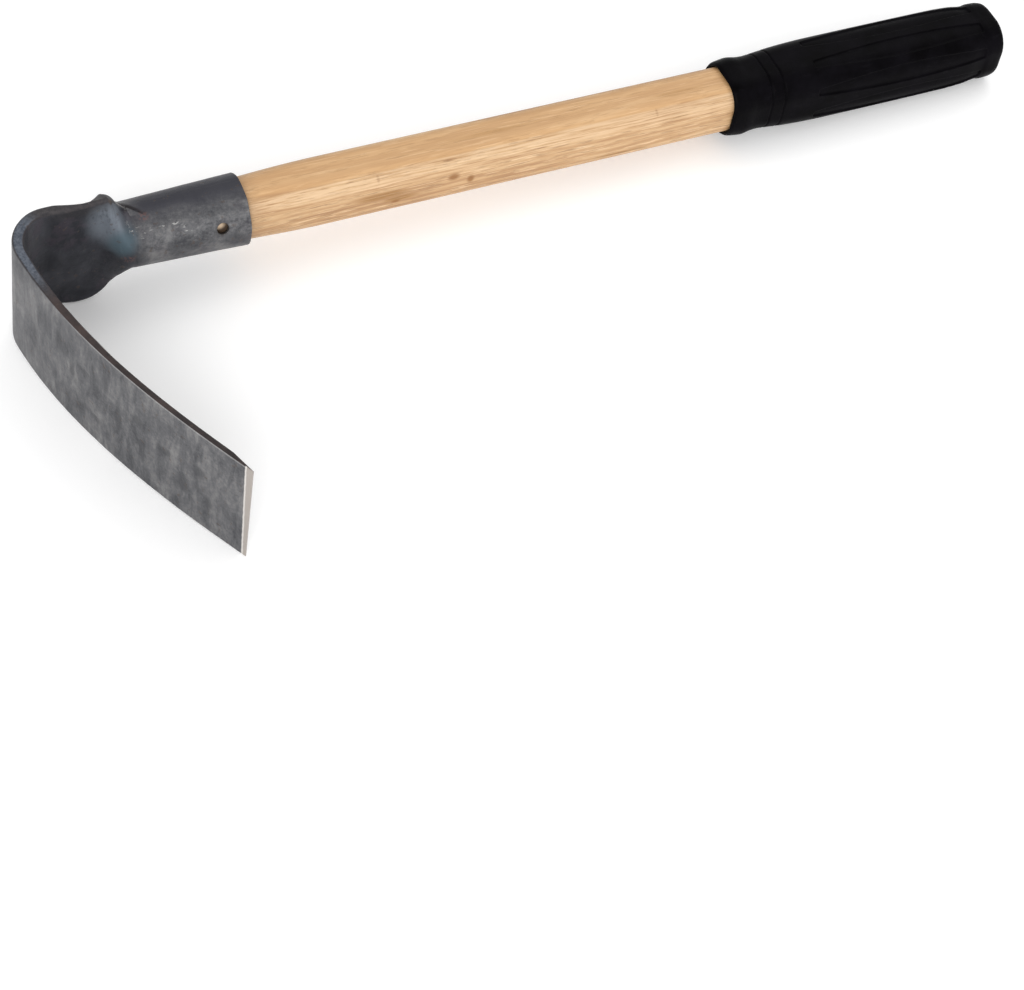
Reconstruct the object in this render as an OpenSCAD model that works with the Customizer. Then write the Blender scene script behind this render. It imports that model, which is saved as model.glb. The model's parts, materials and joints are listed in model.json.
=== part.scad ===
// Short hooked hand sickle: one forged steel head, a wooden handle and a moulded grip.
// The tool is drawn with the centre of its socket's mouth at zero. The handle runs
// along +X, the blade hooks towards -Y, and the width of the strap stands along Z.
// The module "resting" then lays it on its side on a table at z = 0.

/* [Socket] */
// Outer diameter of the socket at its mouth
socket_d = 28; // [27:0.5:28.5]
// How much slimmer the socket is where it starts to flatten
socket_taper = 2.7; // [0:0.1:3]
// Wall thickness of the socket at its mouth
socket_wall = 1.9; // [1.7:0.1:2]
// Length of the round part of the socket
socket_len = 46; // [44:1:50]
// Depth of the bore that takes the handle
bore_depth = 42; // [30:1:42]
// Diameter of the hole for the fixing nail
nail_hole_d = 4.6; // [3:0.1:6]
// Distance of the nail hole from the mouth
nail_hole_x = 11.4; // [6:0.1:20]
// Angle of the nail hole above the blade's side
nail_hole_angle = 21.4; // [0:0.1:45]

/* [Strap and blade] */
// Distance from the mouth to the start of the bend
neck_len = 75.2; // [74:0.1:90]
// Thickness of the flat neck behind the bend
neck_t = 5; // [4:0.1:6]
// Width of the strap at the bend
strap_w = 48.6; // [44:0.2:49]
// How far the plate's lower shoulder hangs below the axis
shoulder_drop = 26.4; // [25:0.1:28]
// How far the plate's upper shoulder stands above the axis
shoulder_rise = 27; // [25:0.1:28]
// Outer radius of the bend
bend_r = 18.7; // [14:0.1:20]
// Angle through which the bend turns the strap
bend_angle = 96.3; // [88:0.1:100]
// Length of the blade past the bend
blade_len = 127.5; // [110:0.5:150]
// Further turn of the blade along its length, in degrees
blade_sweep = 22.5; // [10:0.1:30]
// Thickness of the blade past the bend
blade_t = 3.1; // [2.6:0.1:3.4]
// Thickness of the blade near the tip
tip_t = 2.5; // [2:0.1:2.6]
// Width of the blade at the tip
tip_w = 46.6; // [40:0.2:47]
// Length of the chisel bevel at the tip
tip_bevel = 13.5; // [8:0.5:18]
// Width of the bevel along the sharpened long edge
edge_bevel = 1.6; // [1:0.1:2]

/* [Handle] */
// Width of the handle across its flats
handle_w = 23; // [22.6:0.1:23.6]
// Corner radius of the handle
handle_corner = 8; // [6:0.1:10]
// Distance from the mouth to the handle's far end
handle_end = 324; // [315:1:328]

/* [Grip] */
// Distance from the mouth to the front lip of the grip
grip_start = 207; // [200:1:212]
// Distance from the mouth to the end face of the grip
grip_end = 336; // [334:1:345]
// Corner radius of the grip's section
grip_corner = 10.3; // [9:0.1:11]
// Number of recessed pockets round the grip
pocket_count = 8; // [6:1:8]
// Largest width of a pocket
pocket_w = 8; // [5:0.5:9]
// Diameter of the hole in the grip's end
end_hole_d = 8; // [4:0.5:10]

/* [Hidden] */
$fn = 96;
eps = 0.01;

socket_r = socket_d / 2;
bore_r = socket_r - socket_wall;
mouth_gap = 0.2;           // clearance round the handle at the mouth
mouth_r = bore_r - mouth_gap;
tenon_r = [10.6, 11.7];    // the tenon tapers to the first and rests on the bore's bottom
swell_end = 34;            // the handle is round at the mouth and reaches its full section here
back_y = 0.7;              // the neck's back face lies this far past the axis
flatten_len = 20;          // length over which the socket flattens into the neck plate
straighten = 0.84;         // how fast the blade's curvature dies out: at 1 the tip is straight
thin_len = 45;             // distance over which the strap thins down to the blade
cut_t = 0.3;               // thickness left at the ground tip
grind_start = 0.38;        // the long edge is ground from here, as a share of the blade
edge_depth = 0.5;          // how much of the thickness is ground off along the long edge
proud = 0.2;               // cutting shapes stand this far clear of the skin that they cut
shoulder_x = 65;           // the plate's shoulders, measured from the mouth
heel_r = 9;                // round of that shoulder
neck_flare = 5;            // radius where the plate swings out of the socket
burr_x = -53.4;            // a small burr stands on the plate's upper corner
burr_r = 1.8;
bend_steps = 24;
blade_steps = 46;
end_wall = 5;              // thickness of the grip's end
belly_x = 300;             // the grip is fullest here and touches the table
pocket_depth = 0.7;
pocket_x = [246.5, 326.5]; // front and rear end of every pocket
pocket_ends = [1.4, 2.1];  // half-widths of a pocket's front and rear end

// ---- strap path -------------------------------------------------------------------
// s is the distance along the strap's outer face, from the start of the bend.
bend_arc = bend_r * bend_angle * PI / 180;
strap_len = bend_arc + blade_len;

function blade_turn(u) =
    blade_sweep * (u - straighten * u * u / 2) / (1 - straighten / 2);

function heading(s) =
    s <= 0 ? 180
    : s <= bend_arc ? 180 + bend_angle * s / bend_arc
    : 180 + bend_angle + blade_turn((s - bend_arc) / blade_len);

function full_t(s) =
    let (u = max(0, s - bend_arc) / blade_len)
    blade_t + (tip_t - blade_t) * u
    + (neck_t - blade_t) * exp(-pow(max(0, s) / thin_len, 2));

function strap_t(s) =
    min(full_t(s), cut_t + (full_t(s) - cut_t) * (strap_len - s) / tip_bevel);

stations = concat(
    [for (i = [0 : bend_steps]) bend_arc * i / bend_steps],
    [for (i = [1 : blade_steps]) bend_arc + (blade_len - tip_bevel) * i / blade_steps],
    [strap_len]);

function walk(list, i, p) =
    i == len(list) - 1 ? [p]
    : let (ds = list[i + 1] - list[i], h = heading(list[i] + ds / 2))
      concat([p], walk(list, i + 1, p + ds * [cos(h), sin(h)]));

outer_face = walk(stations, 0, [-neck_len, back_y]);

// Unit vector from the outer face towards the inner one.
function inward(s) = [-sin(heading(s)), cos(heading(s))];

inner_face = [for (i = [0 : len(stations) - 1])
    outer_face[i] + strap_t(stations[i]) * inward(stations[i])];

// Point of the outer face at distance s.
function on_outer(s) =
    let (k = len([for (t = stations) if (t <= s) t]) - 1)
    outer_face[k] + (s - stations[k]) * [cos(heading(s)), sin(heading(s))];

// Half of the blade's width at distance s.
function half_width(s) =
    (strap_w + (tip_w - strap_w) * max(0, s - bend_arc) / blade_len) / 2;

function reversed(list) = [for (i = [len(list) - 1 : -1 : 0]) list[i]];

tip = outer_face[len(outer_face) - 1];

// Points of an arc, from angle a to angle b.
function arc(centre, r, a, b, steps = 8) =
    [for (i = [0 : steps]) let (t = a + (b - a) * i / steps)
        centre + r * [cos(t), sin(t)]];

// ---- resting pose -----------------------------------------------------------------
// The tool touches the table with the plate's shoulder, the grip's belly and the tip.
function grip_half(x) = lookup((x - grip_start) / grip_stretch, grip_profile);

// Half-width of the grip's section across its flats, by distance from its front lip.
grip_profile = [[0, 13.2], [3, 13.9], [6.5, 14.2], [10, 13.8], [14, 13.6], [27, 14.3],
    [43, 14.7], [103, 14.75], [113, 14.5], [121, 14.2], [126.5, 13.9], [129, 12]];
// The profile stretches with the grip.
grip_stretch = (grip_end - grip_start) / grip_profile[len(grip_profile) - 1][0];

foot_a = [-shoulder_x, back_y - neck_t / 2, -shoulder_drop];
foot_b = [belly_x, 0, -grip_half(belly_x)];
foot_c = [tip[0], tip[1], -tip_w / 2];
up = cross(foot_c - foot_a, foot_b - foot_a);
roll = atan2(up[1], up[2]);
pitch = -atan2(up[0], norm([up[1], up[2]]));

function turned(p) =
    let (y = p[1] * cos(roll) - p[2] * sin(roll),
         z = p[1] * sin(roll) + p[2] * cos(roll))
    [p[0] * cos(pitch) + z * sin(pitch), y, z * cos(pitch) - p[0] * sin(pitch)];

bend_x = min([for (p = outer_face) p[0]]);
low_x = turned([bend_x, back_y - bend_r, -strap_w / 2])[0];
high_x = turned([grip_end, 0, 0])[0];
low_y = turned([tip[0], tip[1], tip_w / 2])[1];
high_y = turned([belly_x, grip_half(belly_x), 0])[1];

module resting() {
    translate([-(low_x + high_x) / 2, -(low_y + high_y) / 2, -turned(foot_a)[2]])
        rotate([roll, pitch, 0])
            children();
}

// Closed skin through rings of points, every ring with the same number of points.
module skin(rings) {
    n = len(rings[0]);
    last = len(rings) - 1;
    points = [for (r = rings) each r];
    sides = [for (i = [0 : last - 1]) for (j = [0 : n - 1])
        [i * n + j, (i + 1) * n + j, (i + 1) * n + (j + 1) % n, i * n + (j + 1) % n]];
    near = [for (j = [0 : n - 1]) j];
    far = [for (j = [n - 1 : -1 : 0]) last * n + j];
    polyhedron(points, concat([near], sides, [far]), convexity = 4);
}

// ---- head -------------------------------------------------------------------------
module along_x(x) {
    translate([x, 0, 0]) rotate([0, 90, 0]) children();
}

// The bent strap: the path's outline, as deep as the strap is wide, tapered to the tip.
module strap() {
    margin = 40;
    intersection() {
        linear_extrude(strap_w + 2, center = true)
            polygon(concat(outer_face, reversed(inner_face)));
        translate([-neck_len - margin, 0, 0])
            rotate([90, 0, 90])
                linear_extrude(neck_len + 2 * margin)
                    polygon([
                        [back_y + eps, strap_w / 2], [-bend_r, strap_w / 2],
                        [tip[1] - 1, tip_w / 2], [tip[1] - 1, -tip_w / 2],
                        [-bend_r, -strap_w / 2], [back_y + eps, -strap_w / 2]]);
    }
}

// Wedge that is ground off the upper long edge, on the inner face.
module edge_grind() {
    steps = 24;
    first = bend_arc + grind_start * blade_len;
    rings = [for (i = [0 : steps])
        let (s = first + (strap_len - first) * i / steps,
             w = edge_bevel * min(1, 4 * i / steps + 0.05),
             land = full_t(s) - edge_depth,
             past = full_t(s) + edge_depth)
        [for (q = [[land, proud], [land, 0], [past, -2 * w], [past, proud]])
            let (p = on_outer(s) + q[0] * inward(s))
            [p[0], p[1], half_width(s) + q[1]]]];
    skin(rings);
}

// The flat neck, seen along Y: it flares out of the socket and carries the strap.
module neck_plate() {
    side = socket_r - socket_taper / 2 - 1;  // the plate leaves the tube here
    front = -socket_len;
    lead = 5;                                // the shoulders run into the strap over this length
    translate([0, back_y, 0])
        rotate([90, 0, 0])
            linear_extrude(neck_t)
                polygon(concat(
                    [[-neck_len - eps, -strap_w / 2], [-neck_len - eps, strap_w / 2]],
                    [[-shoulder_x - lead, strap_w / 2 + 0.2], [-shoulder_x + lead, shoulder_rise - 0.3]],
                    arc([burr_x, shoulder_rise - burr_r], burr_r, 100, 0),
                    arc([front, side + neck_flare], neck_flare, 190, 270),
                    [[front, -side]],
                    arc([front, -side - neck_flare], neck_flare, 90, 150),
                    arc([-shoulder_x + 1, -shoulder_drop + heel_r], heel_r, -35, -90),
                    [[-shoulder_x - 2, -shoulder_drop]]));
}

module socket_body() {
    r_end = socket_r - socket_taper / 2;
    along_x(-socket_len) cylinder(h = socket_len, r1 = r_end, r2 = socket_r);
    hull() {
        along_x(-socket_len) cylinder(h = eps, r = r_end, $fn = 32);
        translate([-socket_len - flatten_len, back_y - neck_t, -r_end + 2])
            cube([eps, neck_t, 2 * r_end - 4]);
    }
}

module head() {
    color([0.28, 0.3, 0.33])
        resting()
            difference() {
                union() {
                    socket_body();
                    neck_plate();
                    strap();
                }
                edge_grind();
                along_x(-bore_depth) cylinder(h = bore_depth + 1, r = bore_r);
                translate([-nail_hole_x, 0, 0])
                    rotate([90 - nail_hole_angle, 0, 0])
                        cylinder(h = socket_d, d = nail_hole_d);
            }
}

// ---- handle -----------------------------------------------------------------------
// Square section with round corners, in the YZ plane; half is taken across the flats.
function section(half, corner, steps = 8) =
    [for (q = [0 : 3])
        each arc((half - corner) * [cos(90 * q + 45), sin(90 * q + 45)] * sqrt(2),
            corner, 90 * q, 90 * q + 90, steps)];

// Skin through sections, each given as [x, points].
module loft(sections) {
    skin([for (s = sections) [for (p = s[1]) [s[0], p[0], p[1]]]]);
}

module handle_section() {
    polygon(section(handle_w / 2, handle_corner));
}

module bar(from, to) {
    translate([from, 0, 0]) rotate([90, 0, 90]) linear_extrude(to - from) children();
}

module handle() {
    swell = 6;
    color([0.84, 0.66, 0.44])
        resting() {
            along_x(-bore_depth) cylinder(h = bore_depth + 1, r1 = tenon_r[0], r2 = tenon_r[1]);
            loft([for (i = [0 : swell])
                let (u = sin(90 * i / swell),
                     half = mouth_r + (handle_w / 2 - mouth_r) * u,
                     corner = mouth_r + (handle_corner - mouth_r) * u)
                [swell_end * i / swell, section(half, corner)]]);
            bar(swell_end - eps, handle_end) handle_section();
        }
}

// ---- grip -------------------------------------------------------------------------
module grip_skin(inset) {
    loft([for (s = grip_profile)
        [grip_start + s[0] * grip_stretch, section(s[1] - inset, grip_corner - inset)]]);
}

// A pocket's outline: narrow and round in front, widest in the middle, blunt behind.
module pocket() {
    length = pocket_x[1] - pocket_x[0];
    steps = 16;
    mean_half = (pocket_ends[0] + pocket_ends[1]) / 2;
    function half(u) = pocket_ends[0] + (pocket_ends[1] - pocket_ends[0]) * u
        + (pocket_w / 2 - mean_half) * sin(180 * u);
    edge = [for (i = [0 : steps]) [length * i / steps, half(i / steps)]];
    nose = arc([0, 0], pocket_ends[0], 270, 90);
    polygon(concat(nose, edge, [for (p = reversed(edge)) [p[0], -p[1]]]));
}

// All the pockets, sunk into the grip's skin by their depth.
module pockets() {
    difference() {
        for (i = [0 : pocket_count - 1])
            rotate([360 * (i + 0.5) / pocket_count, 0, 0])
                translate([pocket_x[0], 0, handle_w / 2])
                    linear_extrude(grip_corner)
                        pocket();
        grip_skin(pocket_depth);
    }
}

module grip() {
    color([0.07, 0.07, 0.08])
        resting()
            difference() {
                grip_skin(0);
                bar(grip_start - 1, grip_end - end_wall) handle_section();
                along_x(grip_end - end_wall - 1) cylinder(h = end_wall + 2, d = end_hole_d);
                pockets();
            }
}

head();
handle();
grip();
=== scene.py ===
"""Hand sickle: a forged head, a wooden handle and a moulded grip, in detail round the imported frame.

The tool frame has the centre of the socket's mouth at zero, +X along the handle, the blade towards -Y
and the strap's width along Z, in millimetres. placed() turns it into the row frame, in metres.
"""

import json
import math
from types import SimpleNamespace

import bmesh
import bpy
import numpy as np
from mathutils import Matrix, Vector, kdtree, noise


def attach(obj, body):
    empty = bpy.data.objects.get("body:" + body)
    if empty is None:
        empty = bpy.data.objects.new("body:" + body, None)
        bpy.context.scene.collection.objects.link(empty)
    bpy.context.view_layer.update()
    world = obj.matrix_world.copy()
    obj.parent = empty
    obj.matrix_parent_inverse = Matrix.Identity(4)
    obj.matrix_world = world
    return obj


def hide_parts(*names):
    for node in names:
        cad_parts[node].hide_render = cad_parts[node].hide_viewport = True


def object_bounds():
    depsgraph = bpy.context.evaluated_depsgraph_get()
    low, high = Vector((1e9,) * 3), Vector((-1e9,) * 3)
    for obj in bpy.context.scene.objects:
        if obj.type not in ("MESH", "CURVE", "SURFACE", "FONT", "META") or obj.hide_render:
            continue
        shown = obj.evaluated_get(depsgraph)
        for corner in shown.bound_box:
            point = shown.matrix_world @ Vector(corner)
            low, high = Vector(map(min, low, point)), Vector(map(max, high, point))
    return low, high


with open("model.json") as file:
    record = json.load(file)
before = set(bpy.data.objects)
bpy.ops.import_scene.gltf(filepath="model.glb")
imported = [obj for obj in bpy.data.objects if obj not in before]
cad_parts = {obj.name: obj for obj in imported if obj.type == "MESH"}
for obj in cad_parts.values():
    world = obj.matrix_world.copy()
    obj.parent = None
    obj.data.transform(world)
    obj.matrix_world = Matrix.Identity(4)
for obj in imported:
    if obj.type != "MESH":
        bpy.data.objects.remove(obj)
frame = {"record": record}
cad_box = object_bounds()

MM = 0.001

# ---- driving dimensions ------------------------------------------------------------
# They are the design's, except that the strap is 0.4 to 0.7 mm wider here.
SOCKET_R, SOCKET_TAPER, SOCKET_LEN = 14.0, 1.35, 46.0
BORE_R, BORE_DEPTH = 12.1, 42.0
NAIL_R, NAIL_X, NAIL_ANGLE = 2.3, 11.4, math.radians(21.4)
NECK_LEN, NECK_T, BACK_Y = 75.2, 5.0, 0.7
STRAP_W, TIP_W = 49.0, 47.3
BEND_R, BEND_ANGLE = 18.7, math.radians(96.3)
BLADE_LEN, BLADE_SWEEP, STRAIGHTEN = 127.5, math.radians(22.5), 0.84
BLADE_T, TIP_T, THIN_LEN = 3.1, 2.5, 45.0
CUT_T, TIP_BEVEL = 0.3, 13.5
EDGE_BEVEL, EDGE_DEPTH, GRIND_START = 1.6, 0.5, 0.38
HANDLE_HALF, HANDLE_CORNER, HANDLE_END = 11.5, 8.0, 324.0
MOUTH_R, TENON_R, SWELL_END = 11.9, (10.6, 11.68), 34.0
GRIP_START, GRIP_END, GRIP_CORNER = 207.0, 336.0, 10.3
END_WALL, END_HOLE_R = 5.0, 4.0
POCKETS, POCKET_W, POCKET_DEPTH = 8, 8.0, 0.7
POCKET_X, POCKET_ENDS = (246.5, 326.5), (1.4, 2.1)

# ---- finer features, shown here only -------------------------------------------------
# Width of the tip's small outer bevel at its top and bottom, and its depth.
MICRO_BEVEL, MICRO_DEPTH = (3.3, 1.75), 0.18
# Ends of the fold beside the socket, as (x, degrees round the socket).
FOLD = ((-47.0, 64.0), (-39.4, 103.0))
FOLD_DEPTH, FOLD_WIDTH = 0.75, 0.9
MOUTH_WEAR, HOLE_FLARE = 0.35, 0.4

BEND_ARC = BEND_R * BEND_ANGLE
STRAP_LEN = BEND_ARC + BLADE_LEN


# ---- small tools -------------------------------------------------------------------
def mount(name):
    return next(m for m in frame["record"]["mounts"] if m["name"] == name)


def unit(v):
    return v / np.linalg.norm(v)


def tool_axes():
    """The tool frame's axes and origin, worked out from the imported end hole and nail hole."""
    along = unit(np.array(mount("end_hole")["axis"]))
    nail = np.array(mount("nail_hole")["axis"])
    nail = unit(nail - along * (nail @ along))
    side = -math.cos(NAIL_ANGLE) * nail - math.sin(NAIL_ANGLE) * np.cross(along, nail)
    end = np.array(mount("end_hole")["pos_m"])
    origin = end - along * (GRIP_END - END_WALL / 2) * MM
    return origin, np.stack([along, side, np.cross(along, side)])


ORIGIN, AXES = tool_axes()


def placed(points):
    """Tool frame in millimetres to row frame in metres."""
    return ORIGIN + MM * np.asarray(points, float) @ AXES


def smooth(x, a, b):
    """0 at a, 1 at b, with level ends."""
    t = np.clip((np.asarray(x, float) - a) / (b - a), 0, 1)
    return t * t * (3 - 2 * t)


def curve(x, points):
    """Smooth curve through (x, value) points, without overshoot."""
    px, py = np.array(points, float).T
    gap, slope = np.diff(px), np.diff(py) / np.diff(px)
    m = np.zeros(len(px))
    same = slope[1:] * slope[:-1] > 0
    inner = np.where(same, 2 * slope[1:] * slope[:-1] / np.where(same, slope[1:] + slope[:-1], 1), 0)
    m[1:-1] = inner
    k = np.clip(np.searchsorted(px, x) - 1, 0, len(px) - 2)
    t = np.clip((x - px[k]) / gap[k], 0, 1)
    h = gap[k]
    return (py[k] * (1 + 2 * t) * (1 - t) ** 2 + h * m[k] * t * (1 - t) ** 2
            + py[k + 1] * t * t * (3 - 2 * t) + h * m[k + 1] * t * t * (t - 1))


def smooth_max(a, b, k):
    """The larger of a and b, with a fillet of about k where they cross."""
    h = np.clip(0.5 + 0.5 * (a - b) / k, 0, 1)
    return b + (a - b) * h + k * h * (1 - h)


def spaced(*runs):
    """Stations along a length: each run is (from, to, step)."""
    parts = [np.linspace(a, b, max(1, round((b - a) / step)), endpoint=False) for a, b, step in runs]
    return np.concatenate(parts + [np.array([runs[-1][1]])])


def lumps(points, size, seed, octaves=2):
    """Smooth noise between about -1 and 1 at each point, with features of the given size."""
    at = np.asarray(points) / size + seed * 17.3
    return np.array([noise.fractal(Vector(p), 1.0, 2.0, octaves) for p in at])


def ring(x, radius, theta):
    """Points round the tool's axis at x: radius is one number, or one per angle."""
    return np.column_stack([np.full(len(theta), x), radius * np.cos(theta), radius * np.sin(theta)])


def neighbours(columns):
    """Each column of a closed ring with the next one."""
    return [(j, (j + 1) % columns) for j in range(columns)]


def grid_faces(rows, columns, first=0, flip=False):
    """Quads of a tube of rings, each ring closed."""
    faces = []
    for i in range(rows - 1):
        row = first + i * columns
        for j, k in neighbours(columns):
            quad = (row + j, row + k, row + k + columns, row + j + columns)
            faces.append(quad[::-1] if flip else quad)
    return faces


def read_points(mesh):
    flat = np.empty(3 * len(mesh.vertices))
    mesh.vertices.foreach_get("co", flat)
    return flat.reshape(-1, 3)


def make_object(name, points, faces, attributes):
    """A smooth-shaded piece from points in the tool frame, which it also keeps as the attribute own."""
    mesh = bpy.data.meshes.new(name)
    mesh.from_pydata(placed(points).tolist(), [], faces)
    shape = bmesh.new()
    shape.from_mesh(mesh)
    bmesh.ops.recalc_face_normals(shape, faces=shape.faces)
    shape.to_mesh(mesh)
    shape.free()
    for key, values in {"own": points, **attributes}.items():
        layer = mesh.attributes.new(key, "FLOAT_VECTOR", "POINT")
        layer.data.foreach_set("vector", np.asarray(values, np.float32).ravel())
    mesh.shade_smooth()
    obj = bpy.data.objects.new(name, mesh)
    bpy.context.scene.collection.objects.link(obj)
    return obj


# ---- the strap's path --------------------------------------------------------------
def heading(s):
    u = np.clip((s - BEND_ARC) / BLADE_LEN, 0, 1)
    sweep = BLADE_SWEEP * (u - STRAIGHTEN * u * u / 2) / (1 - STRAIGHTEN / 2)
    return math.pi + BEND_ANGLE * np.clip(s / BEND_ARC, 0, 1) + sweep


def full_t(s):
    u = np.clip((s - BEND_ARC) / BLADE_LEN, 0, 1)
    thinning = np.exp(-(np.maximum(0, s) / THIN_LEN) ** 2)
    return BLADE_T + (TIP_T - BLADE_T) * u + (NECK_T - BLADE_T) * thinning


def outer_path(stations):
    """Points of the strap's outer face in the XY plane, for distances s from the start of the bend."""
    fine = np.arange(0, STRAP_LEN + 0.05, 0.05)
    mid = heading((fine[1:] + fine[:-1]) / 2)
    x = np.concatenate([[0], np.cumsum(np.diff(fine) * np.cos(mid))])
    y = np.concatenate([[0], np.cumsum(np.diff(fine) * np.sin(mid))])
    px = np.where(stations < 0, -NECK_LEN - stations, -NECK_LEN + np.interp(stations, fine, x))
    py = np.where(stations < 0, BACK_Y, BACK_Y + np.interp(stations, fine, y))
    return np.stack([px, py], 1)


# ---- head --------------------------------------------------------------------------
# Edges of the neck above and below the axis, by distance behind the mouth.
UPPER_EDGE = [(44, 12.7), (46, 14.3), (48, 17.2), (50, 20.3), (52, 23.3), (53.6, 25.5), (54.6, 26.6),
              (56, 26.2), (60, 25.9), (65, 25.3), (70, 24.9), (75.2, 24.6), (82, 24.6), (90, 24.5)]
LOWER_EDGE = [(44, 12.7), (46, 14.6), (48, 16.6), (50, 18.4), (52, 19.6), (55, 22.9), (58, 25.2),
              (61, 26.4), (65, 26.8), (69, 26.2), (73, 25.2), (78, 24.5), (90, 24.5)]
# Reach of the neck's two sides from the axis, by distance behind the mouth.
REACH_OUT = [(44, 12.7), (49, 12.2), (54, 9.6), (60, 5.4), (66, 2.2), (71, 0.7), (80, 0.7)]
REACH_IN = [(42, 12.7), (47, 12.4), (50, 11.2), (53, 9.0), (56, 6.8), (59, 5.2), (62, 4.4), (65, 4.3),
            (90, 4.3)]
# The socket's end runs this much further along the neck for each millimetre of height.
REACH_SKEW = 0.12
# The neck's upper edge leans towards the blade, and its lower edge by this share of that.
LEAN = [(46, 0), (49, 0.3), (51.5, 0.9), (54.5, 1.8), (60, 1.5), (65, 1.1), (70, 0.9), (75, 0.2), (80, 0)]
LOWER_LEAN = 0.3
# The upper edge is drawn out to this thickness, over the height above this share of the edge's.
THIN_EDGE, DRAWN_HEIGHT = 2.4, 0.7
# Distances behind the mouth: the socket is round to the first, the section has the plate's corners from the
# second, the neck is a plain plate from the third, and its shoulders have run into the strap by the fourth.
ROUND_LEN, CORNERS_START, PLATE_START, SHOULDERS_END = 45, 52, 65, 88.2
# Where the neck's section changes, as (from, to) behind the mouth: the arch over the plate gets the plate's
# width, it gets more pointed, it skews, its fillet closes, and the upper edge is drawn out.
WIDENS, SHARPENS, SKEWS, FILLET_CLOSES, DRAWN_OUT = (44, 51), (50, 64), (45, 51), (80, 72), (74, 62)
FILLET = 2.4
# Hammer marks: their size, their depth on the blade, what the neck has more, and their depth on the socket.
MARK_SIZE, BLADE_MARKS, NECK_MARKS, SOCKET_MARKS = 13, 0.08, 0.22, 0.16
EDGE_ROWS, CORNER_ROWS, FACE_ROWS = 3, 7, 36
QUARTER = EDGE_ROWS + 1 + CORNER_ROWS + FACE_ROWS
# Dents in the blade's outer face: distance along the strap, height, half-extents and depth.
DENTS = [(62, 9, 2.2, 6, 0.3), (70, 1, 1.6, 5, 0.25), (76, 7, 4, 1.8, 0.2), (96, -2, 1.8, 7, 0.3),
         (106, 6, 3.5, 2, 0.25), (109, -7, 1.8, 6, 0.3), (119, 1, 5, 2, 0.25), (128, -8, 2, 5, 0.3),
         (136, 3, 3.5, 3.5, 0.25), (141, -10, 2, 4, 0.25), (46, -4, 2, 7, 0.2), (84, -12, 4, 2, 0.2)]
# The socket's rounded lip and the bore's start, as (x, radius).
MOUTH_LIP = [(0.12, SOCKET_R - 0.55), (0.05, BORE_R + 0.5), (-0.3, BORE_R)]


def socket_radius(behind):
    return SOCKET_R - SOCKET_TAPER * min(behind, SOCKET_LEN) / SOCKET_LEN


def half_width(s):
    return (STRAP_W + (TIP_W - STRAP_W) * max(0, s - BEND_ARC) / BLADE_LEN) / 2


def plate_samples(edge, t, corner):
    """Depth below a plate's edge and share of its thickness, from the middle of the edge to mid-face."""
    flat = np.linspace(0, 1, EDGE_ROWS + 1)
    alpha = np.linspace(0, math.pi / 2, CORNER_ROWS + 1)[1:]
    face = np.linspace(0, 1, FACE_ROWS + 1)[1:] ** 1.6
    depth = np.concatenate([0 * flat, corner * (1 - np.cos(alpha)), corner + (edge - corner) * face])
    rounding = t / 2 - corner + corner * np.sin(alpha)
    half = np.concatenate([flat * (t / 2 - corner), rounding, 0 * face + t / 2])
    return depth, half / (t / 2)


def neck_faces(behind, z, edge, t, flat):
    """Distances of the outer and inner face from the outer plane, at heights z of one ring."""
    radius = socket_radius(behind)
    if flat <= 0:
        arch = np.sqrt(np.clip(radius ** 2 - z ** 2, 0, None))
        return BACK_Y - arch, BACK_Y + arch
    width = radius + (edge - radius) * float(smooth(behind, *WIDENS))
    power = 0.5 + 0.4 * float(smooth(behind, *SHARPENS))
    arch = np.clip(1 - (z / width) ** 2, 0, 1) ** power
    fill = FILLET * flat * float(smooth(behind, *FILLET_CLOSES)) + 0.01
    later = behind - REACH_SKEW * z * float(smooth(behind, *SKEWS))
    reach = np.where(later < PLATE_START, curve(later, REACH_IN), t - BACK_Y)
    inner = BACK_Y + smooth_max(reach * arch, flat * (t - BACK_Y), fill)
    outer = BACK_Y - smooth_max(curve(behind + 0 * z, REACH_OUT) * arch, flat * BACK_Y, fill)
    high = np.clip(z, 0, None) / edge
    low = np.clip(-z, 0, None) / edge
    lean = float(curve(behind, LEAN)) * (high ** 1.7 + LOWER_LEAN * low ** 2)
    drawn = flat * float(smooth(behind, *DRAWN_OUT)) * (t - THIN_EDGE)
    return outer + lean + drawn * smooth(high, DRAWN_HEIGHT, 1), inner + lean


def edge_corner(s, t):
    """Radius along the head's long edges, which grows towards the socket."""
    return min(0.45 * t, 0.45 + 0.5 * float(smooth(s, 70, 20)) + 1.3 * float(smooth(s, 12, -2)))


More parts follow.
